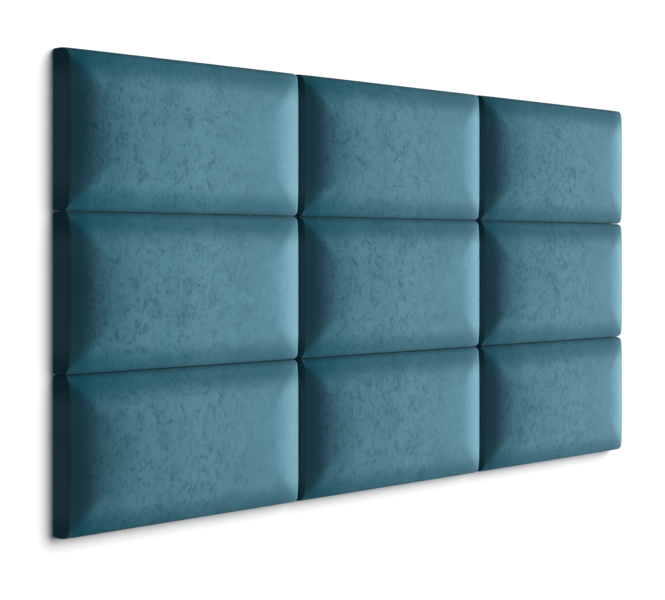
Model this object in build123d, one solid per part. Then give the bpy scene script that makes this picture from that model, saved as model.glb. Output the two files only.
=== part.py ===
from build123d import *

import os
from math import atan2, ceil, cos, pi, sin, sqrt

# Upholstered wall panel set: nine padded velvet panels in a close grid on a wall.
#
# Each panel is a particle board with a foam block on its front and a velvet cover pulled over
# both, turned under onto the back of the board and stapled there.  Strips of loop tape on the
# back of the board grip strips of hook tape that are stuck to the wall, so every panel can be
# pulled straight off the wall and pressed back on.
#
# Frame: X to the right as seen from the room, Y into the wall, Z up.  The wall is the plane
# Y = 0 and the origin is the middle of the grid.  Depths below are distances from the wall
# towards the room, that is along -Y.  Millimetres.

# The grid, as seen from the room
ROW_NAMES = ("top", "middle", "bottom")
COLUMN_NAMES = ("left", "centre", "right")
PANEL_WIDTH = 600.0  # over the cover
PANEL_HEIGHT = 300.0  # over the cover
PANEL_GAP = 1.0  # air between the covers of neighbouring panels

# Hook-and-loop strips: hook tape on the wall, loop tape on the board
HOOK_THICKNESS = 1.8
LOOP_THICKNESS = 1.8
STRIP_LENGTH = 100.0
STRIP_WIDTH = 25.0
STRIP_CORNER_RADIUS = 3.0
STRIP_INSET = 12.0  # from the edge of the turned-under cover to a corner strip

# Backing board
BOARD_THICKNESS = 10.0
BOARD_CORNER_RADIUS = 8.0
BOARD_EASED_EDGE = 0.8  # sanded edges round the back face

# Foam block, drawn down over its edges by the cover
FOAM_THICKNESS = 40.0
FOAM_EDGE_HEIGHT = 22.0  # what is left of its height at the very edge, before the rounding
FOAM_EDGE_RUN = 95.0  # from each edge to where the pad is flat
FOAM_EDGE_ROUNDING = 18.0  # of the shoulder along each edge

# Velvet cover
COVER_THICKNESS = 1.0
COVER_TURN_UNDER = 28.0  # width of the margin stapled to the back of the board

# Staples through the turned-under margin
STAPLE_CROWN = 12.0  # width over the legs
STAPLE_LEG = 8.0
STAPLE_WIRE_WIDTH = 1.2
STAPLE_WIRE_THICKNESS = 0.6
STAPLE_BEND_RADIUS = 0.5  # inside the bends
STAPLE_EDGE_DISTANCE = 15.0  # from the edge of the panel to the row of staples
STAPLE_CORNER_DISTANCE = 32.0  # from the corner of the panel to the first staple
STAPLE_SPACING = 45.0  # the most there is between neighbours in a row
STAPLE_TILT = 7.0  # degrees out of line, one way and then the other

# What follows from these
BOARD_WIDTH = PANEL_WIDTH - 2 * COVER_THICKNESS
BOARD_HEIGHT = PANEL_HEIGHT - 2 * COVER_THICKNESS
BOARD_BACK = HOOK_THICKNESS + LOOP_THICKNESS
BOARD_FRONT = BOARD_BACK + BOARD_THICKNESS
PAD_FRONT = BOARD_FRONT + FOAM_THICKNESS
WINDOW_WIDTH = PANEL_WIDTH - 2 * COVER_TURN_UNDER
WINDOW_HEIGHT = PANEL_HEIGHT - 2 * COVER_TURN_UNDER

# Sketch planes through the middle of a panel: v is the depth, u runs across or up
ACROSS = Plane(origin=(0, 0, 0), x_dir=(1, 0, 0), z_dir=(0, 0, -1))
UPWARD = Plane(origin=(0, 0, 0), x_dir=(0, 0, 1), z_dir=(1, 0, 0))


def slab(outline, near, far):
    """An outline in the plane of the wall, solid from one depth to another."""
    plane = Plane(origin=(0, -near, 0), x_dir=(1, 0, 0), z_dir=(0, -1, 0))
    return extrude(plane * outline, amount=far - near)


def pad_profile(length, skin):
    """Section through board and foam: flat in the middle, falling in an arc to each edge.

    Every side is moved outwards by skin.
    """
    run = FOAM_EDGE_RUN
    rise = FOAM_THICKNESS - FOAM_EDGE_HEIGHT
    radius = (run**2 + rise**2) / (2 * rise)
    flat_end = length / 2 - run
    arc_centre = PAD_FRONT - radius
    half = length / 2 + skin
    back = BOARD_BACK - skin
    front = PAD_FRONT + skin
    shoulder = arc_centre + sqrt((radius + skin) ** 2 - (run + skin) ** 2)
    middle = (atan2(shoulder - arc_centre, run + skin) + pi / 2) / 2
    fall_u = flat_end + (radius + skin) * cos(middle)
    fall_v = arc_centre + (radius + skin) * sin(middle)
    outline = [
        Line((-half, back), (half, back)),
        Line((half, back), (half, shoulder)),
        ThreePointArc((half, shoulder), (fall_u, fall_v), (flat_end, front)),
        Line((flat_end, front), (-flat_end, front)),
        ThreePointArc((-flat_end, front), (-fall_u, fall_v), (-half, shoulder)),
        Line((-half, shoulder), (-half, back)),
    ]
    section = make_face(outline)
    shoulders = section.vertices().filter_by(lambda v: abs(v.Y - shoulder) < 0.01)
    return fillet(shoulders, FOAM_EDGE_ROUNDING + skin)


def pad_form(skin):
    """Board and foam as one closed form, with every side moved outwards by skin."""
    width = BOARD_WIDTH + 2 * skin
    height = BOARD_HEIGHT + 2 * skin
    across = ACROSS * pad_profile(BOARD_WIDTH, skin)
    upward = UPWARD * pad_profile(BOARD_HEIGHT, skin)
    outline = RectangleRounded(width, height, BOARD_CORNER_RADIUS + skin)
    block = slab(outline, BOARD_BACK - 2 * skin, PAD_FRONT + 2 * skin)
    block = block & extrude(across, amount=height, both=True)
    return block & extrude(upward, amount=width, both=True)


def make_board():
    """Particle board, its edges sanded round the back face."""
    outline = RectangleRounded(BOARD_WIDTH, BOARD_HEIGHT, BOARD_CORNER_RADIUS)
    board = slab(outline, BOARD_BACK, BOARD_FRONT)
    back_edges = board.faces().sort_by(Axis.Y)[-1].edges()
    return chamfer(back_edges, BOARD_EASED_EDGE)


def make_foam(form):
    """The foam block as the cover holds it: full height in the middle, low at the edges."""
    behind = Rectangle(2 * PANEL_WIDTH, 2 * PANEL_HEIGHT)
    return form - slab(behind, 0, BOARD_FRONT)


def make_cover(form):
    """The velvet, one thickness all round, open at the back inside the turned-under margin."""
    window = Rectangle(WINDOW_WIDTH, WINDOW_HEIGHT)
    return pad_form(COVER_THICKNESS) - form - slab(window, 0, BOARD_BACK)


def make_staple():
    """One staple at the middle of the panel, its crown along X and flat on the cover."""
    under_crown = BOARD_BACK - COVER_THICKNESS
    crown_back = under_crown - STAPLE_WIRE_THICKNESS
    tips = under_crown + STAPLE_LEG
    half = STAPLE_CROWN / 2
    inner = half - STAPLE_WIRE_THICKNESS
    blank = make_face(
        Polyline((-half, tips), (-half, crown_back), (half, crown_back), (half, tips), close=True)
    )
    slot = make_face(
        Polyline((-inner, tips), (-inner, under_crown), (inner, under_crown), (inner, tips), close=True)
    )
    blank = fillet(blank.vertices().sort_by(Axis.Y)[:2], STAPLE_BEND_RADIUS + STAPLE_WIRE_THICKNESS)
    slot = fillet(slot.vertices().sort_by(Axis.Y)[:2], STAPLE_BEND_RADIUS)
    return extrude(ACROSS * (blank - slot), amount=STAPLE_WIRE_WIDTH / 2, both=True)


def staple_places(length):
    """Evenly spaced places along one edge of the panel, clear of its corners."""
    reach = length - 2 * STAPLE_CORNER_DISTANCE
    spaces = ceil(reach / STAPLE_SPACING)
    return [(k / spaces - 0.5) * reach for k in range(spaces + 1)]


def make_staples():
    """Staples along all four edges of the turned-under margin, crowns along the edge."""
    edge_x = PANEL_WIDTH / 2 - STAPLE_EDGE_DISTANCE
    edge_z = PANEL_HEIGHT / 2 - STAPLE_EDGE_DISTANCE
    places = [(x, z, 0) for z in (-edge_z, edge_z) for x in staple_places(PANEL_WIDTH)]
    places += [(x, z, 90) for x in (-edge_x, edge_x) for z in staple_places(PANEL_HEIGHT)]
    staple = make_staple()
    staples = []
    for k, (x, z, turn) in enumerate(places):
        tilt = STAPLE_TILT if k % 2 else -STAPLE_TILT
        staples.append(Pos(x, 0, z) * Rot(0, turn + tilt, 0) * staple)
    return Compound(children=staples)


def make_strips(near, far):
    """Five strips of tape between two depths: one near each corner and one in the middle."""
    strip = slab(RectangleRounded(STRIP_LENGTH, STRIP_WIDTH, STRIP_CORNER_RADIUS), near, far)
    x = (WINDOW_WIDTH - STRIP_LENGTH) / 2 - STRIP_INSET
    z = (WINDOW_HEIGHT - STRIP_WIDTH) / 2 - STRIP_INSET
    places = [(0, 0), (-x, -z), (x, -z), (-x, z), (x, z)]
    return Compound(children=[Pos(px, 0, pz) * strip for px, pz in places])


def make_panel():
    """Every piece of one panel, and its strips on the wall, at the middle of the grid."""
    form = pad_form(0)
    return {
        "backing_board": make_board(),
        "foam_pad": make_foam(form),
        "velvet_cover": make_cover(form),
        "staples": make_staples(),
        "loop_strips": make_strips(HOOK_THICKNESS, BOARD_BACK),
        "hook_strips": make_strips(0, HOOK_THICKNESS),
    }


def main():
    os.makedirs("parts", exist_ok=True)
    pieces = make_panel()
    for r, row in enumerate(ROW_NAMES):
        for c, column in enumerate(COLUMN_NAMES):
            x = (c - (len(COLUMN_NAMES) - 1) / 2) * (PANEL_WIDTH + PANEL_GAP)
            z = ((len(ROW_NAMES) - 1) / 2 - r) * (PANEL_HEIGHT + PANEL_GAP)
            for name, piece in pieces.items():
                export_step(Pos(x, 0, z) * piece, f"parts/{name}_{row}_{column}.step")


main()
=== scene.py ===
import math
from random import Random

import bpy
import numpy as np
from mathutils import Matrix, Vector, noise


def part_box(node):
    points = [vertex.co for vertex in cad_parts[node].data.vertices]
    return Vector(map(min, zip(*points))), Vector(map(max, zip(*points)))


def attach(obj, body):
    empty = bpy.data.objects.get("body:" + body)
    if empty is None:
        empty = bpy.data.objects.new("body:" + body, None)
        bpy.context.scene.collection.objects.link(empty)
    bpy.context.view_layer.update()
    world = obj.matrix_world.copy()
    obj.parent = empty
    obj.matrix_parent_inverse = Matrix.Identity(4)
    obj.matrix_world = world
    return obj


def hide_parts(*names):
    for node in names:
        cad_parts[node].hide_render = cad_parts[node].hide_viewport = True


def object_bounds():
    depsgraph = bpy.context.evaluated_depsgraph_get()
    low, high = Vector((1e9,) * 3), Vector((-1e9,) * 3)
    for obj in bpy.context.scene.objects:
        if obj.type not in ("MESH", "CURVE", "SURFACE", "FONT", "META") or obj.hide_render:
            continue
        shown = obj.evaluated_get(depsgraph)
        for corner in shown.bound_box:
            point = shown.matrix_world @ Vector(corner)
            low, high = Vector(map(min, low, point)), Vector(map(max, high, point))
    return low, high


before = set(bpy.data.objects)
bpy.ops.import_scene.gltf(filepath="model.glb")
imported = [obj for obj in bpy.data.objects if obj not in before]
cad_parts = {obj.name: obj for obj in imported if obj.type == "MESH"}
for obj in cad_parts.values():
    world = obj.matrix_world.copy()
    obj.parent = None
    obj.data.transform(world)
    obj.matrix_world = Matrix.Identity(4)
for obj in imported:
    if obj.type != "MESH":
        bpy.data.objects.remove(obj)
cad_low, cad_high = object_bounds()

# ---------------------------------------------------------------------------------------------
# Hook strips.  Black nylon tape with moulded hooks, five lengths to a panel, stuck to the wall
# by the adhesive on the back.  The hooks face the room and the woven ground runs lengthwise.

ROWS = ("top", "middle", "bottom")
COLUMNS = ("left", "centre", "right")
PLACES = [f"{row}_{column}" for row in ROWS for column in COLUMNS]
HOOK_PITCH = 0.0016  # between rows of hooks
HOOK_UNEVENNESS = 0.12
HOOK_RELIEF = 0.0005
LINT_SCALE, GLUE_SCALE = 260.0, 90.0
TAPE_BLACK = (0.012, 0.012, 0.013, 1.0)
TAPE_WORN = (0.035, 0.035, 0.038, 1.0)
ADHESIVE = (0.30, 0.29, 0.26, 1.0)
ADHESIVE_SOILED = (0.16, 0.155, 0.14, 1.0)


def new_finish(name):
    """A material with nothing in it but a surface shader and its output."""
    finish = bpy.data.materials.new(name)
    finish.use_nodes = True
    nodes, links = finish.node_tree.nodes, finish.node_tree.links
    return finish, nodes, links, nodes["Principled BSDF"]


def feed(links, value, socket):
    """Puts a number or a colour on a socket, or links an output to it."""
    if hasattr(value, "links"):
        links.new(value, socket)
    else:
        socket.default_value = value


def wire_mix(nodes, links, amount, first, second):
    """Mixes two colours, each a colour or an output, by an output or a number."""
    mix = nodes.new("ShaderNodeMix")
    mix.data_type = "RGBA"
    factor, colour_a, colour_b = mix.inputs[0], mix.inputs[6], mix.inputs[7]
    feed(links, amount, factor)
    feed(links, first, colour_a)
    feed(links, second, colour_b)
    return mix.outputs[2]


def wire_sum(nodes, links, operation, first, second):
    """One step of arithmetic on outputs or numbers."""
    step = nodes.new("ShaderNodeMath")
    step.operation = operation
    feed(links, first, step.inputs[0])
    feed(links, second, step.inputs[1])
    return step.outputs[0]


def wire_speckle(nodes, links, scale, detail=2.0, roughness=0.5, along=None, warp=0.0):
    """Cloudy variation between 0 and 1, with features about 1/scale metres across."""
    cloud = nodes.new("ShaderNodeTexNoise")
    cloud.inputs["Scale"].default_value = scale
    cloud.inputs["Detail"].default_value = detail
    cloud.inputs["Roughness"].default_value = roughness
    cloud.inputs["Distortion"].default_value = warp
    if along is None:
        along = nodes.new("ShaderNodeTexCoord").outputs["Object"]
    links.new(along, cloud.inputs["Vector"])
    return cloud.outputs["Fac"]


def wire_stretch(nodes, links, scale, turn=(0.0, 0.0, 0.0), source=None):
    """Object coordinates turned and then scaled, for a pattern that runs one way."""
    place = nodes.new("ShaderNodeMapping")
    place.inputs["Scale"].default_value = scale
    place.inputs["Rotation"].default_value = turn
    if source is None:
        source = nodes.new("ShaderNodeTexCoord").outputs["Object"]
    links.new(source, place.inputs["Vector"])
    return place.outputs["Vector"]


def wire_cells(nodes, links, scale, turn=(0.0, 0.0, 0.0), randomness=1.0):
    """Cells 1/scale metres across; the node itself, for its distances and its colours."""
    cells = nodes.new("ShaderNodeTexVoronoi")
    cells.inputs["Scale"].default_value = 1.0
    cells.inputs["Randomness"].default_value = randomness
    links.new(wire_stretch(nodes, links, scale, turn), cells.inputs["Vector"])
    return cells


def wire_step(nodes, links, value, low, high):
    """0 below low, 1 above high, and smooth in between."""
    ramp = nodes.new("ShaderNodeMapRange")
    ramp.interpolation_type = "SMOOTHSTEP"
    ramp.inputs["From Min"].default_value = low
    ramp.inputs["From Max"].default_value = high
    links.new(value, ramp.inputs["Value"])
    return ramp.outputs["Result"]


def wire_relief(nodes, links, shader, height, depth):
    """Raises the surface by a height between 0 and 1, at that depth in metres."""
    bump = nodes.new("ShaderNodeBump")
    bump.inputs["Strength"].default_value = 1.0
    bump.inputs["Distance"].default_value = depth
    links.new(height, bump.inputs["Height"])
    links.new(bump.outputs["Normal"], shader.inputs["Normal"])


def make_hook_tape():
    """Rows of hooks on the front, lint between them, and smeared adhesive on the back."""
    finish, nodes, links, shader = new_finish("hook_tape")
    pitch = 1.0 / HOOK_PITCH
    grid = wire_cells(nodes, links, (pitch, 0.0, pitch), randomness=HOOK_UNEVENNESS)
    middles = wire_sum(nodes, links, "SUBTRACT", 1.0, grid.outputs["Distance"])
    hooks = wire_step(nodes, links, middles, 0.55, 0.8)
    lint = wire_step(nodes, links, wire_speckle(nodes, links, LINT_SCALE, 4.0, 0.7), 0.55, 0.8)
    tape = wire_mix(nodes, links, lint, TAPE_BLACK, TAPE_WORN)
    side = nodes.new("ShaderNodeSeparateXYZ")
    links.new(nodes.new("ShaderNodeNewGeometry").outputs["True Normal"], side.inputs[0])
    glued = wire_step(nodes, links, side.outputs["Y"], 0.7, 0.9)
    soil = wire_speckle(nodes, links, GLUE_SCALE, 5.0, 0.65)
    smear = wire_mix(nodes, links, soil, ADHESIVE, ADHESIVE_SOILED)
    links.new(wire_mix(nodes, links, glued, tape, smear), shader.inputs["Base Color"])
    shader.inputs["Roughness"].default_value = 0.55
    wire_relief(nodes, links, shader, hooks, HOOK_RELIEF)
    return finish


def dress(kind, finish):
    """Gives one finish to the CAD pieces of one kind in all nine places."""
    for place in PLACES:
        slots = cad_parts[f"{kind}_{place}"].data.materials
        slots.clear()
        slots.append(finish)


dress("hook_strips", make_hook_tape())


# ---------------------------------------------------------------------------------------------
# Loop strips.  The soft half of the tape, a napped black pile, stuck to the back of the board
# opposite each hook strip so that the panel can be pressed on and pulled off.

NAP_SCALE = 1400.0
NAP_BRUSHED = (220.0, 220.0, 900.0)  # the nap lies along the tape
NAP_RELIEF = 0.0006


def make_loop_tape():
    """Fine napped loops, brushed one way."""
    finish, nodes, links, shader = new_finish("loop_tape")
    nap = wire_speckle(nodes, links, NAP_SCALE, 6.0, 0.75)
    brushed = wire_speckle(nodes, links, 1.0, 3.0, 0.6, wire_stretch(nodes, links, NAP_BRUSHED))
    fuzz = wire_sum(nodes, links, "ADD", wire_sum(nodes, links, "MULTIPLY", nap, 0.6), brushed)
    tint = wire_step(nodes, links, fuzz, 0.6, 1.1)
    links.new(wire_mix(nodes, links, tint, TAPE_BLACK, TAPE_WORN), shader.inputs["Base Color"])
    shader.inputs["Roughness"].default_value = 0.95
    shader.inputs["Sheen Weight"].default_value = 0.4
    shader.inputs["Sheen Roughness"].default_value = 0.5
    wire_relief(nodes, links, shader, fuzz, NAP_RELIEF)
    return finish


dress("loop_strips", make_loop_tape())


# ---------------------------------------------------------------------------------------------
# Backing boards.  Raw particle board, sanded both sides: pressed wood flakes of mixed browns in
# resin, finer at the faces and open at the sawn edges.  Everything else is fixed to it.

FLAKE_SCALE, FLAKE_TURN = (150.0, 400.0, 320.0), (0.0, 0.5, 0.0)
CHIP_SCALE, CHIP_TURN = (520.0, 700.0, 260.0), (0.0, -0.7, 0.0)
DUST_SCALE, STAIN_SCALE = 1800.0, 7.0
WOOD_PALE = (0.52, 0.37, 0.21, 1.0)
WOOD_HONEY = (0.36, 0.23, 0.115, 1.0)
WOOD_BARK = (0.13, 0.072, 0.034, 1.0)
BOARD_GRAIN = 0.00012


def make_particle_board():
    """Large flakes and small chips, each of its own shade, a few of them bark, and faint stains."""
    finish, nodes, links, shader = new_finish("particle_board")
    flake = wire_cells(nodes, links, FLAKE_SCALE, FLAKE_TURN)
    chip = wire_cells(nodes, links, CHIP_SCALE, CHIP_TURN)
    flake_shade = nodes.new("ShaderNodeSeparateColor")
    links.new(flake.outputs["Color"], flake_shade.inputs[0])
    chip_shade = nodes.new("ShaderNodeSeparateColor")
    links.new(chip.outputs["Color"], chip_shade.inputs[0])
    colour = wire_mix(nodes, links, flake_shade.outputs["Red"], WOOD_PALE, WOOD_HONEY)
    chips = wire_sum(nodes, links, "MULTIPLY", chip_shade.outputs["Green"], 0.45)
    colour = wire_mix(nodes, links, chips, colour, WOOD_HONEY)
    dark = wire_step(nodes, links, chip_shade.outputs["Red"], 0.9, 0.96)
    colour = wire_mix(nodes, links, wire_sum(nodes, links, "MULTIPLY", dark, 0.75), colour, WOOD_BARK)
    stain = wire_step(nodes, links, wire_speckle(nodes, links, STAIN_SCALE, 3.0), 0.35, 0.75)
    colour = wire_mix(nodes, links, wire_sum(nodes, links, "MULTIPLY", stain, 0.25), colour, WOOD_HONEY)
    links.new(colour, shader.inputs["Base Color"])
    shader.inputs["Roughness"].default_value = 0.8
    shader.inputs["Specular IOR Level"].default_value = 0.25
    dust = wire_speckle(nodes, links, DUST_SCALE, 3.0)
    grain = wire_sum(nodes, links, "ADD", flake.outputs["Distance"], dust)
    wire_relief(nodes, links, shader, grain, BOARD_GRAIN)
    return finish


dress("backing_board", make_particle_board())


# ---------------------------------------------------------------------------------------------
# Velvet covers.  One cut of crushed velvet a panel, drawn over the foam and the edges of the
# board, turned under and stapled.  The foam pushes it out into a crown that falls away to the
# edges, and the spare cloth at each corner is gathered into small pleats on the back.

CLOTH_BODY = 0.00095  # thickness of the velvet without the tips of its pile
CORNER_RADIUS = 0.005  # of the panel's outline, filled out by the folded cloth
SHOULDER_CORNER = 0.010  # of the shoulder line, seen from the front
SHOULDER_RADIUS = 0.0115
BACK_ROUNDING = 0.0012  # where the cloth turns onto the back of the board
EDGE_RUN = 0.096  # from the outline to where the pad is flat
FALL = 0.0155  # from the flat of the pad down to its shoulder, before the rounding
MITRE = 3.4  # how sharply two falls meet in a corner
CROWN_DOME = 0.0085  # how far the foam pushes the cloth out between its edges
PUSH_STEPS = 20  # of the cloth, by when it has filled out
EASE_ROUNDS = 60
FOLDS_KEPT = 0.12  # share of the corner creases that the stapled cloth keeps
TURN_UNDER = 0.028
PLEAT_REACH = 0.042  # from the corner of the panel, on the back
PLEAT_RIDGE, PLEAT_VALLEY = 0.0013, 0.0002  # off the board
CUT_WANDER, CUT_WANDER_SCALE = 0.0007, 90.0  # of the hand-cut edge
SWELL, SWELL_SCALE, SWELL_RIM = 0.0006, 9.0, 0.05  # of each panel by itself, dying out at its rim

FRONT_GRID = 0.006  # between grid lines over the flat of the panel
EDGE_GRID = (0.0, 0.0013, 0.0028, 0.0046, 0.007, 0.010, 0.014, 0.019, 0.0245)  # in from the border
FRONT_RINGS = (0.0041, 0.0032, 0.0024, 0.0017, 0.0011, 0.0006, 0.0002, 0.0)  # in from the outline
SIDE_RINGS = (0.85, 0.6, 0.3, 0.0)  # shares of the height of the side
TURN_RINGS = (0.3, 1.0)  # shares of the back rounding
UNDER_RINGS = (0.004, 0.008, 0.012, 0.016, 0.020, 0.024, TURN_UNDER)  # in from the outline

panel_low, panel_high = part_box("velvet_cover_middle_centre")
foam_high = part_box("foam_pad_middle_centre")[1]
HALF_X, HALF_Z = panel_high.x, panel_high.z
BACK, FRONT = -panel_high.y, -panel_low.y  # depths from the wall
BOARD_FRONT = -foam_high.y
TINY = 1e-6


def fall_at(inset):
    """How far the crown has dropped at a distance in from an edge: an arc, level at its end."""
    radius = (EDGE_RUN**2 + FALL**2) / (2 * FALL)
    reach = max(0.0, EDGE_RUN - inset)
    return radius - math.sqrt(radius**2 - reach**2)


def shoulder_inset(x, z):
    """Distance in from the shoulder line, a rectangle with rounder corners than the outline."""
    across = abs(x) - (HALF_X - SHOULDER_CORNER)
    upward = abs(z) - (HALF_Z - SHOULDER_CORNER)
    outside = math.hypot(max(across, 0.0), max(upward, 0.0))
    return SHOULDER_CORNER - outside - min(max(across, upward), 0.0)


def crown_depth(x, z):
    """Depth from the wall of the front of the cover."""
    at_end = fall_at(HALF_X - abs(x))
    at_side = fall_at(HALF_Z - abs(z))
    drop = (at_end**MITRE + at_side**MITRE) ** (1 / MITRE)
    inset = shoulder_inset(x, z)
    reach = min(max(SHOULDER_RADIUS - inset, 0.0), SHOULDER_RADIUS)
    drop += SHOULDER_RADIUS - math.sqrt(SHOULDER_RADIUS**2 - reach**2)
    return FRONT - drop + min(inset, 0.0)


def edge_steps(half):
    """Grid lines from the middle of the panel to its border, closer together near the edge."""
    near = [CORNER_RADIUS + d for d in EDGE_GRID]
    inner = half - near[-1]
    count = round(inner / FRONT_GRID)
    return [inner * k / count for k in range(count)] + [half - d for d in reversed(near)]


def outline_quarter(inset, fractions_x, fractions_z):
    """Points round one corner of the outline, drawn in by an inset: from the end to the side."""
    radius = max(CORNER_RADIUS - inset, 0.0)
    a, b = HALF_X - inset, HALF_Z - inset
    half_arc = radius * math.pi / 4
    points = []
    for f in fractions_z:
        along = f * (b - radius + half_arc)
        turn = max(along - (b - radius), 0.0) / max(radius, TINY)
        z = min(along, b - radius) + radius * math.sin(turn)
        points.append((a - radius + radius * math.cos(turn), z))
    for f in reversed(fractions_x[:-1]):
        along = f * (a - radius + half_arc)
        turn = max(along - (a - radius), 0.0) / max(radius, TINY)
        x = min(along, a - radius) + radius * math.sin(turn)
        points.append((x, b - radius + radius * math.cos(turn)))
    return points


def whole_outline(quarter):
    """A quarter outline mirrored into a closed loop, anticlockwise as seen from the room."""
    loop = list(quarter)
    loop += [(-x, z) for x, z in reversed(quarter[:-1])]
    loop += [(-x, -z) for x, z in quarter[1:]]
    loop += [(x, -z) for x, z in reversed(quarter[1:-1])]
    return loop


def gather(x, z, k):
    """How far a pleat stands off the back of the board, near a corner."""
    corner = math.hypot(HALF_X - abs(x), HALF_Z - abs(z))
    strength = max(0.0, 1.0 - corner / PLEAT_REACH)
    return strength * (PLEAT_RIDGE if k % 2 else PLEAT_VALLEY)


def cover_mesh():
    """The outside of one cover at the origin.

    A grid over the front, then closed rings that carry it round the corners of the outline, down
    the side and under the board.  Gives the points, the faces, the points that the board holds,
    and how many points the grid has: they come first.
    """
    xs, zs = edge_steps(HALF_X), edge_steps(HALF_Z)
    all_x = [-x for x in reversed(xs[1:])] + xs
    all_z = [-z for z in reversed(zs[1:])] + zs
    points, faces, index = [], [], {}
    for j, z in enumerate(all_z):
        for i, x in enumerate(all_x):
            index[i, j] = len(points)
            points.append((x, -crown_depth(x, z), z))
    for j in range(len(all_z) - 1):
        for i in range(len(all_x) - 1):
            faces.append((index[i, j], index[i + 1, j], index[i + 1, j + 1], index[i, j + 1]))
    last_i, last_j = len(all_x) - 1, len(all_z) - 1
    mid_j = last_j // 2
    ring = [index[last_i, j] for j in range(mid_j, last_j + 1)]
    ring += [index[i, last_j] for i in range(last_i - 1, -1, -1)]
    ring += [index[0, j] for j in range(last_j - 1, -1, -1)]
    ring += [index[i, 0] for i in range(1, last_i + 1)]
    ring += [index[last_i, j] for j in range(1, mid_j)]
    fractions_x = [x / xs[-1] for x in xs]
    fractions_z = [z / zs[-1] for z in zs]
    rings = [("front", inset) for inset in FRONT_RINGS]
    rings += [("side", share) for share in SIDE_RINGS]
    rings += [("turn", BACK_ROUNDING * share) for share in TURN_RINGS]
    rings += [("under", inset) for inset in UNDER_RINGS]
    front_count = len(points)
    pinned = []
    for zone, value in rings:
        inset = 0.0 if zone == "side" else value
        loop = whole_outline(outline_quarter(inset, fractions_x, fractions_z))
        new_ring = []
        for k, (x, z) in enumerate(loop):
            if zone == "front":
                depth = crown_depth(x, z)
            elif zone == "side":
                depth = BACK + BACK_ROUNDING + value * (crown_depth(x, z) - BACK - BACK_ROUNDING)
            elif zone == "turn":
                depth = BACK + BACK_ROUNDING - math.sqrt(BACK_ROUNDING**2 - (BACK_ROUNDING - inset) ** 2)
            else:
                depth = BACK - gather(x, z, k)
                if value == TURN_UNDER:
                    spot = Vector((x * CUT_WANDER_SCALE, z * CUT_WANDER_SCALE, 3.7))
                    wander = CUT_WANDER * noise.noise(spot)
                    x, z = x * (1 + wander / HALF_X), z * (1 + wander / HALF_Z)
            new_ring.append(len(points))
            if zone != "front":
                pinned.append(len(points))
            points.append((x, -depth, z))
        for k in range(len(ring)):
            n = (k + 1) % len(ring)
            faces.append((ring[k], new_ring[k], new_ring[n], ring[n]))
        ring = new_ring
    return points, faces, pinned, front_count


def build(name, points, faces):
    """A mesh object from points and faces, linked to the scene and smooth."""
    mesh = bpy.data.meshes.new(name)
    mesh.from_pydata(points, [], faces)
    mesh.polygons.foreach_set("use_smooth", [True] * len(mesh.polygons))
    mesh.update()
    piece = bpy.data.objects.new(name, mesh)
    bpy.context.scene.collection.objects.link(piece)
    return piece


def read_points(mesh):
    """The points of a mesh as an array, one row each."""
    flat = np.zeros(len(mesh.vertices) * 3, np.float32)
    mesh.vertices.foreach_get("co", flat)
    return flat.reshape(-1, 3).astype(float)


def ease(push, faces, pinned):
    """The same push with its creases eased out, each point drawn to the mean of its neighbours."""
    pairs = np.array([(face[k], face[k - 1]) for face in faces for k in range(4)])
    pairs = np.concatenate((pairs, pairs[:, ::-1]))
    neighbours = np.bincount(pairs[:, 0], minlength=len(push))
    held = np.array(pinned)
    soft = push.copy()
    for _ in range(EASE_ROUNDS):
        soft = np.bincount(pairs[:, 0], weights=soft[pairs[:, 1]], minlength=len(push)) / neighbours
        soft[held] = 0.0
    return soft


def push_out(points, faces, pinned):
    """Lets the foam's push fill the cover: cloth held at the board, with pressure inside."""
    start = np.array(points)
    trial = build("cover_trial", points, faces)
    held = trial.vertex_groups.new(name="held")
    held.add(pinned, 1.0, "REPLACE")
    cloth = trial.modifiers.new("push", "CLOTH").settings
    cloth.quality = 8
    cloth.mass = 0.25
    cloth.tension_stiffness = 25.0
    cloth.compression_stiffness = 25.0
    cloth.shear_stiffness = 8.0
    cloth.bending_stiffness = 2.0
    cloth.air_damping = 4.0
    cloth.vertex_group_mass = "held"
    cloth.use_pressure = True
    cloth.uniform_pressure_force = 4.0
    cloth.effector_weights.gravity = 0.0
    scene = bpy.context.scene
    for step in range(1, PUSH_STEPS + 1):
        scene.frame_set(step)
    settled = trial.evaluated_get(bpy.context.evaluated_depsgraph_get())
    moved = read_points(settled.to_mesh())
    settled.to_mesh_clear()
    scene.frame_set(1)
    bpy.data.objects.remove(trial)
    push = start[:, 1] - moved[:, 1]
    soft = ease(push, faces, pinned)
    share = CROWN_DOME / soft.max()
    start[:, 1] -= share * (soft + FOLDS_KEPT * (push - soft))
    return start


def smooth(value, low, high):
    """0 below low, 1 above high, and smooth in between."""
    share = min(max((value - low) / (high - low), 0.0), 1.0)
    return share * share * (3.0 - 2.0 * share)


# Painted shade: the darkest colour that the covers are painted towards where their slopes and edges lie
# in shade, and the level at which it is reached.
DARKEST_PAINTED_SHADING = 0.26  # painted shading at which the colour is fully the painted-shade colour
PILE_PAINTED_SHADE = (0.006, 0.072, 0.105, 1.0)
PILE_DEEP = (0.040, 0.120, 0.160, 1.0)
PILE_FULL = (0.088, 0.212, 0.270, 1.0)
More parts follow.
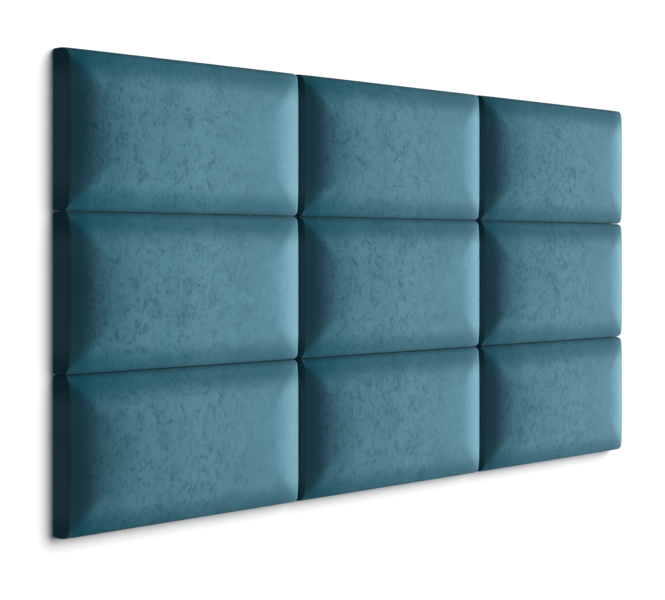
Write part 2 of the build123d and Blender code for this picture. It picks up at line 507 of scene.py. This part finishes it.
# Painted highlight: the paler colour painted at the right end of each cover.
PILE_PAINTED_HIGHLIGHT = (0.150, 0.250, 0.290, 1.0)
PILE_SHEEN = (0.45, 0.72, 0.84, 1.0)
WARP_THREADS, WEFT_THREADS = (2600.0, 900.0, 500.0), (500.0, 900.0, 2600.0)
THREAD_RELIEF = 0.0003
GROUND_DARK, GROUND_LIGHT = (0.03, 0.08, 0.10, 1.0), (0.10, 0.19, 0.22, 1.0)
DRIFT_SCALE, DRIFT_REACH = 22.0, 0.035  # bends the strokes, so that no two run alike
STEEP_STROKES, STEEP_TURN = (150.0, 60.0, 66.0), 0.75
LEANING_STROKES, LEANING_TURN = (140.0, 60.0, 80.0), -0.8
PATCH_SCALE = 17.0  # steep strokes in one patch, leaning ones in the next
MOTTLE_SCALE, MOTTLE_WARP, MOTTLE_STRENGTH = 34.0, 0.9, 4.8
STROKE_STRENGTH, CRUSHED_MIDDLE = 0.52, 0.21
CLOUD_SCALE, CLOUD_STRENGTH = 9.0, 0.30
PLAIN_SHADE = 0.61  # where nothing is crushed, from deep at 0 to full at 1
TUFT_SCALE, TUFT_HEIGHT = 1500.0, 0.10
CRUSH_RELIEF = 0.00032


def painted_shading(x, z):
    """Painted shade, from 0 at its darkest to 1 for none: the colour is painted darker near the edges,
    where less light falls.

    The distances are in metres from the edges of the panel.  Lengthwise the shade is painted lighter on
    the left side face and darkest over the left shoulder and slope, which face away from the light from
    the right. It gets lighter in steps towards the right and is darker again on the right side face.  It
    is also painted darker towards the top and bottom edges.
    """
    from_left, from_top, from_bottom = x + HALF_X, HALF_Z - z, z + HALF_Z
    at_left = 0.86 - 0.35 * smooth(from_left, 0.002, 0.028) + 0.12 * smooth(from_left, 0.042, 0.070)
    lengthwise = at_left + 0.24 * smooth(from_left, 0.08, 0.18) + 0.17 * smooth(from_left, 0.22, 0.34)
    lengthwise -= 0.08 * smooth(from_left, 0.49, 0.55) + 0.50 * smooth(from_left, 0.5975, 0.5998)
    below_top = 0.54 + 0.46 * smooth(from_top, 0.020, 0.066)
    above_bottom = 0.60 + 0.40 * smooth(from_bottom, 0.012, 0.058)
    return (lengthwise * below_top * above_bottom - DARKEST_PAINTED_SHADING) / (1.0 - DARKEST_PAINTED_SHADING)


def pile_crush_and_painted_falloff(x, z):
    """How strongly the crushed pattern is drawn, about 1 in the middle: most near the left, least at the
    right.  The crush is the velvet's own, but its fall towards the right is painted light: the pattern is
    drawn weaker where the light from the right washes it out.
    """
    from_left = x + HALF_X
    near_left = smooth(from_left, 0.025, 0.055) * (1.25 - 0.25 * smooth(from_left, 0.10, 0.20))
    return near_left * (1.0 - 0.75 * smooth(from_left, 0.28, 0.50))


def painted_highlight(x, z):
    """Painted highlight, from 0 to 1: a paler colour at the right end, where the light from the right
    falls.
    """
    return 0.5 * smooth(x + HALF_X, 0.51, 0.60)


def mark_crush_and_painted_light(piece, centre_x, centre_z):
    """Writes the painted shading, the crush with its painted falloff, and the painted highlight on every
    point of a cover.
    """
    for name, measure in (("painted_shading", painted_shading), ("pile_crush_and_painted_falloff", pile_crush_and_painted_falloff), ("painted_highlight", painted_highlight)):
        marks = piece.data.attributes.new(name, "FLOAT", "POINT")
        values = [measure(v.co.x - centre_x, v.co.z - centre_z) for v in piece.data.vertices]
        marks.data.foreach_set("value", values)


def wire_mark(nodes, name):
    """A measure written on the points of a cover."""
    mark = nodes.new("ShaderNodeAttribute")
    mark.attribute_name = name
    return mark.outputs["Fac"]


def make_velvet():
    """Crushed pile: fine mottling and short slanting strokes where the pile is pressed over, with painted
    shade near the edges and a painted highlight at the right end.
    """
    finish, nodes, links, shader = new_finish("crushed_velvet")
    own = nodes.new("ShaderNodeTexCoord").outputs["Object"]
    drift = nodes.new("ShaderNodeTexNoise")
    drift.inputs["Scale"].default_value = DRIFT_SCALE
    drift.inputs["Detail"].default_value = 3.0
    links.new(own, drift.inputs["Vector"])
    bend = nodes.new("ShaderNodeVectorMath")
    bend.operation = "MULTIPLY_ADD"
    bend.inputs[1].default_value = (DRIFT_REACH, DRIFT_REACH, DRIFT_REACH)
    links.new(drift.outputs["Color"], bend.inputs[0])
    links.new(own, bend.inputs[2])
    steep = wire_stretch(nodes, links, STEEP_STROKES, (0.0, STEEP_TURN, 0.0), bend.outputs[0])
    leaning = wire_stretch(nodes, links, LEANING_STROKES, (0.0, LEANING_TURN, 0.0), bend.outputs[0])
    patch = wire_step(nodes, links, wire_speckle(nodes, links, PATCH_SCALE, 3.0), 0.42, 0.58)
    stroke = nodes.new("ShaderNodeMix")
    factor, value_a, value_b = stroke.inputs[0], stroke.inputs[2], stroke.inputs[3]
    links.new(patch, factor)
    links.new(wire_speckle(nodes, links, 1.0, 6.0, 0.68, steep), value_a)
    links.new(wire_speckle(nodes, links, 1.0, 6.0, 0.68, leaning), value_b)
    strokes = wire_step(nodes, links, stroke.outputs[0], 0.47, 0.62)

    mottle = wire_speckle(nodes, links, MOTTLE_SCALE, 10.0, 0.80, warp=MOTTLE_WARP)
    crushed = wire_sum(nodes, links, "SUBTRACT", mottle, 0.5)
    crushed = wire_sum(nodes, links, "MULTIPLY", crushed, MOTTLE_STRENGTH)
    pressed = wire_sum(nodes, links, "MULTIPLY", strokes, STROKE_STRENGTH)
    crushed = wire_sum(nodes, links, "SUBTRACT", crushed, pressed)
    crushed = wire_sum(nodes, links, "ADD", crushed, CRUSHED_MIDDLE)
    # The crush is real, but the weakening of its pattern towards the right is painted light.
    crush_and_painted_falloff = wire_mark(nodes, "pile_crush_and_painted_falloff")
    shade = wire_sum(nodes, links, "MULTIPLY", crushed, crush_and_painted_falloff)
    cloud = wire_speckle(nodes, links, CLOUD_SCALE, 2.0, 0.5)
    cloud = wire_sum(nodes, links, "MULTIPLY", cloud, CLOUD_STRENGTH)
    shade = wire_sum(nodes, links, "ADD", wire_sum(nodes, links, "ADD", shade, cloud), PLAIN_SHADE)
    colour = wire_mix(nodes, links, shade, PILE_DEEP, PILE_FULL)
    # Painted highlight: paler at the right end, where the light from the right falls.
    colour = wire_mix(nodes, links, wire_mark(nodes, "painted_highlight"), colour, PILE_PAINTED_HIGHLIGHT)
    # Painted shade: the colour darkens towards the painted-shade colour near the edges and over the left
    # slope.
    colour = wire_mix(nodes, links, wire_mark(nodes, "painted_shading"), PILE_PAINTED_SHADE, colour)
    links.new(colour, shader.inputs["Base Color"])
    shader.inputs["Roughness"].default_value = 0.9
    shader.inputs["Specular IOR Level"].default_value = 0.02
    shader.inputs["Sheen Weight"].default_value = 0.03
    shader.inputs["Sheen Roughness"].default_value = 0.4
    shader.inputs["Sheen Tint"].default_value = PILE_SHEEN

    height = wire_sum(nodes, links, "SUBTRACT", mottle, wire_sum(nodes, links, "MULTIPLY", strokes, 0.25))
    height = wire_sum(nodes, links, "MULTIPLY", height, crush_and_painted_falloff)
    tufts = wire_speckle(nodes, links, TUFT_SCALE, 3.0, 0.6)
    height = wire_sum(nodes, links, "ADD", height, wire_sum(nodes, links, "MULTIPLY", tufts, TUFT_HEIGHT))
    wire_relief(nodes, links, shader, height, CRUSH_RELIEF)
    return finish


def make_ground_cloth():
    """The woven ground of the velvet, seen on its inside and where it is cut."""
    finish, nodes, links, shader = new_finish("velvet_ground_cloth")
    warp = wire_speckle(nodes, links, 1.0, 2.0, 0.6, wire_stretch(nodes, links, WARP_THREADS))
    weft = wire_speckle(nodes, links, 1.0, 2.0, 0.6, wire_stretch(nodes, links, WEFT_THREADS))
    threads = wire_sum(nodes, links, "ADD", warp, weft)
    links.new(wire_mix(nodes, links, threads, GROUND_DARK, GROUND_LIGHT), shader.inputs["Base Color"])
    shader.inputs["Roughness"].default_value = 0.95
    wire_relief(nodes, links, shader, threads, THREAD_RELIEF)
    return finish


velvet, ground_cloth = make_velvet(), make_ground_cloth()
cover_points, cover_faces, pinned, front_count = cover_mesh()
cover_shape = push_out(cover_points, cover_faces, pinned)

covers, cover_fronts = {}, {}
for number, place in enumerate(PLACES):
    low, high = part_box(f"velvet_cover_{place}")
    middle = (low + high) / 2
    luck = Random(100 + number)
    shift = Vector((luck.uniform(0, 50), luck.uniform(0, 50), luck.uniform(0, 50)))
    shape = cover_shape.copy()
    for k in range(front_count):
        x, y, z = shape[k]
        swell = noise.noise(Vector((x * SWELL_SCALE, z * SWELL_SCALE, 0.0)) + shift)
        rim = min(1.0, (HALF_X - abs(x)) / SWELL_RIM, (HALF_Z - abs(z)) / SWELL_RIM)
        shape[k, 1] = y - SWELL * swell * rim
    cover_fronts[place] = shape
    placed = [tuple(p) for p in shape + np.array((middle.x, 0.0, middle.z))]
    cover = build(f"cover_{place}", placed, cover_faces)
    mark_crush_and_painted_light(cover, middle.x, middle.z)
    cover.data.materials.append(velvet)
    cover.data.materials.append(ground_cloth)
    fine = cover.modifiers.new("fine", "SUBSURF")
    fine.levels = fine.render_levels = 1
    cloth = cover.modifiers.new("cloth", "SOLIDIFY")
    cloth.thickness = CLOTH_BODY
    cloth.offset = -1.0
    cloth.material_offset = 1
    cloth.material_offset_rim = 1
    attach(cover, f"panel_{place}")
    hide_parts(f"velvet_cover_{place}")
    covers[place] = cover


# ---------------------------------------------------------------------------------------------
# Foam pads.  A block of cream open-cell foam glued to the front of each board, squeezed by the
# cover into its crown: full height in the middle and lower at the edges.

FOAM_UNDER_CLOTH = 0.0014  # from the face of the cover to the foam
FOAM_CELLS, AGED_SCALE = 1100.0, 12.0
FOAM_CREAM, FOAM_AGED = (0.78, 0.73, 0.55, 1.0), (0.70, 0.62, 0.40, 1.0)
CELL_RELIEF = 0.0005
GLUE_LINE = 0.0002  # between foam and board
FOAM_SIDES = ((0.0016, 0.75), (0.0026, 0.35), (0.0030, 0.0))  # out from the front, share of height


def make_foam():
    """Open cells in cream foam, yellowed here and there."""
    finish, nodes, links, shader = new_finish("upholstery_foam")
    cells = wire_cells(nodes, links, (FOAM_CELLS, FOAM_CELLS, FOAM_CELLS))
    aged = wire_step(nodes, links, wire_speckle(nodes, links, AGED_SCALE, 3.0), 0.35, 0.75)
    links.new(wire_mix(nodes, links, aged, FOAM_CREAM, FOAM_AGED), shader.inputs["Base Color"])
    shader.inputs["Roughness"].default_value = 0.97
    wire_relief(nodes, links, shader, cells.outputs["Distance"], CELL_RELIEF)
    return finish


def foam_mesh(shape):
    """The foam under one cover: its front a cloth's thickness inside, its back on the board."""
    points = [(x, y + FOAM_UNDER_CLOTH, z) for x, y, z in shape[:front_count]]
    faces = [f for f in cover_faces if max(f) < front_count]
    sides = {}
    for a, b, c, d in faces:
        for e in ((a, b), (b, c), (c, d), (d, a)):
            key = tuple(sorted(e))
            sides[key] = None if key in sides else e
    edge = {e[0]: e[1] for e in sides.values() if e}
    start = next(iter(edge))
    rim, here = [start], edge[start]
    while here != start:
        rim.append(here)
        here = edge[here]
    ring = rim
    border_x, border_z = HALF_X - CORNER_RADIUS - TINY, HALF_Z - CORNER_RADIUS - TINY
    for grow, share in FOAM_SIDES:
        new_ring = []
        for v in rim:
            x, y, z = points[v]
            depth = BOARD_FRONT + GLUE_LINE + (-y - BOARD_FRONT) * share
            at_end, at_side = abs(x) > border_x, abs(z) > border_z
            step = grow * math.sqrt(0.5) if at_end and at_side else grow
            new_ring.append(len(points))
            x += math.copysign(step * at_end, x)
            z += math.copysign(step * at_side, z)
            points.append((x, -depth, z))
        for k in range(len(ring)):
            n = (k + 1) % len(ring)
            faces.append((ring[n], ring[k], new_ring[k], new_ring[n]))
        ring = new_ring
    faces.append(tuple(reversed(ring)))
    return points, faces


foam = make_foam()
for place in PLACES:
    low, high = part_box(f"foam_pad_{place}")
    middle = (low + high) / 2
    points, faces = foam_mesh(cover_fronts[place])
    placed = [(x + middle.x, y, z + middle.z) for x, y, z in points]
    pad = build(f"foam_{place}", placed, faces)
    pad.data.materials.append(foam)
    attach(pad, f"panel_{place}")
    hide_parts(f"foam_pad_{place}")


# ---------------------------------------------------------------------------------------------
# Staples.  Bright galvanised wire, driven by an air stapler through the turned-under velvet
# into the board, with their crowns flat on the cloth.

ZINC_DULL, ZINC_BRIGHT = (0.50, 0.51, 0.53, 1.0), (0.72, 0.73, 0.75, 1.0)
TARNISH_SCALE = 700.0
TARNISH_RELIEF = 0.00005


def make_wire():
    """Bright zinc with cloudy, slightly rougher tarnish."""
    finish, nodes, links, shader = new_finish("galvanised_wire")
    tarnish = wire_speckle(nodes, links, TARNISH_SCALE, 4.0, 0.6)
    links.new(wire_mix(nodes, links, tarnish, ZINC_DULL, ZINC_BRIGHT), shader.inputs["Base Color"])
    shader.inputs["Metallic"].default_value = 1.0
    links.new(wire_step(nodes, links, tarnish, -0.4, 1.6), shader.inputs["Roughness"])
    wire_relief(nodes, links, shader, tarnish, TARNISH_RELIEF)
    return finish


dress("staples", make_wire())


# ---------------------------------------------------------------------------------------------
# The room.  A white wall and a pale floor, each with a light of its own, a large soft key light
# on the panels from far to the right, a soft light on their backs, and a weak fill all round.

WALL_HALF_WIDTH, WALL_TOP = 4.0, 2.4
WALL_BEHIND = 0.0006  # the hook strips, so that wall and tape don't lie in one plane
FLOOR_DROP = 0.85  # from the lowest edge of the panels to the floor
FLOOR_DEPTH = 4.0
WHITE_PAINT, PALE_FLOOR = (0.86, 0.86, 0.86, 1.0), (0.78, 0.78, 0.77, 1.0)
WHITE = (1.0, 1.0, 1.0, 1.0)


def make_plain(name, colour, one_sided=False):
    """Matt paint; one-sided paint is clear from behind, so that the backs can be seen."""
    finish, nodes, links, shader = new_finish(name)
    shader.inputs["Base Color"].default_value = colour
    shader.inputs["Roughness"].default_value = 0.95
    shader.inputs["Specular IOR Level"].default_value = 0.0
    if one_sided:
        clear = nodes.new("ShaderNodeBsdfTransparent")
        choice = nodes.new("ShaderNodeMixShader")
        links.new(nodes.new("ShaderNodeNewGeometry").outputs["Backfacing"], choice.inputs[0])
        links.new(shader.outputs[0], choice.inputs[1])
        links.new(clear.outputs[0], choice.inputs[2])
        links.new(choice.outputs[0], nodes["Material Output"].inputs["Surface"])
    return finish


bottom = cad_low.z - FLOOR_DROP
wall_corners = [
    (-WALL_HALF_WIDTH, WALL_BEHIND, bottom),
    (WALL_HALF_WIDTH, WALL_BEHIND, bottom),
    (WALL_HALF_WIDTH, WALL_BEHIND, WALL_TOP),
    (-WALL_HALF_WIDTH, WALL_BEHIND, WALL_TOP),
]
wall = build("wall", wall_corners, [(0, 1, 2, 3)])
wall.data.materials.append(make_plain("white_wall", WHITE_PAINT, one_sided=True))
wall.visible_shadow = False
wall.visible_diffuse = False
wall.visible_glossy = False
floor_corners = [
    (-WALL_HALF_WIDTH, -FLOOR_DEPTH, bottom),
    (WALL_HALF_WIDTH, -FLOOR_DEPTH, bottom),
    (WALL_HALF_WIDTH, FLOOR_DEPTH, bottom),
    (-WALL_HALF_WIDTH, FLOOR_DEPTH, bottom),
]
floor = build("floor", floor_corners, [(0, 1, 2, 3)])
floor.data.materials.append(make_plain("pale_floor", PALE_FLOOR))
floor.visible_diffuse = False


def add_sun(name, towards, strength, spread, only=None, but=None):
    """A distant soft light, seen from the panels in one direction and as wide as its spread.

    It reaches only one thing, or everything but one.
    """
    lamp = bpy.data.lights.new(name, "SUN")
    lamp.energy = strength
    lamp.angle = math.radians(spread)
    sun = bpy.data.objects.new(name, lamp)
    sun.rotation_mode = "QUATERNION"
    sun.rotation_quaternion = Vector(towards).to_track_quat("Z", "Y")
    bpy.context.scene.collection.objects.link(sun)
    if only or but:
        reached = bpy.data.collections.new(f"{name}_reaches")
        reached.objects.link(only or but)
        sun.light_linking.receiver_collection = reached
        reached.collection_objects[0].light_linking.link_state = "INCLUDE" if only else "EXCLUDE"


add_sun("key", towards=(0.966, -0.259, -0.03), strength=12.6, spread=28.0, but=wall)
add_sun("wall_key", towards=(0.43, -0.79, 0.43), strength=4.2, spread=56.0, only=wall)
add_sun("wall_fill", towards=(0.05, -1.0, 0.05), strength=0.35, spread=60.0, only=wall)
add_sun("floor_key", towards=(0.25, -0.35, 0.90), strength=3.0, spread=60.0, only=floor)
add_sun("back_fill", towards=(0.35, 0.92, -0.15), strength=2.0, spread=30.0)

studio = bpy.data.worlds.new("studio")
bpy.context.scene.world = studio
studio.use_nodes = True
sky_nodes, sky_links = studio.node_tree.nodes, studio.node_tree.links
sky_nodes.clear()
seen = sky_nodes.new("ShaderNodeBackground")
seen.inputs["Color"].default_value = WHITE
fill = sky_nodes.new("ShaderNodeBackground")
fill.inputs["Color"].default_value = WHITE
fill.inputs["Strength"].default_value = 0.15
pick = sky_nodes.new("ShaderNodeMixShader")
sky_links.new(sky_nodes.new("ShaderNodeLightPath").outputs["Is Camera Ray"], pick.inputs[0])
sky_links.new(fill.outputs[0], pick.inputs[1])
sky_links.new(seen.outputs[0], pick.inputs[2])
sky_links.new(pick.outputs[0], sky_nodes.new("ShaderNodeOutputWorld").inputs[0])
bpy.context.scene.view_settings.view_transform = "Standard"

# The camera stands to the left of the panels, level with their middle, turned to the right.
camera_data = bpy.data.cameras.new("camera")
camera_data.lens = 82.26
camera_data.sensor_width = 36.0
camera_data.shift_y = -0.0723
camera_data.clip_end = 50.0
camera = bpy.data.objects.new("camera", camera_data)
camera.location = (-2.531, -2.332, 0.0755)
camera.rotation_euler = (math.radians(90.0), 0.0, math.radians(-45.42))
bpy.context.scene.collection.objects.link(camera)
bpy.context.scene.camera = camera
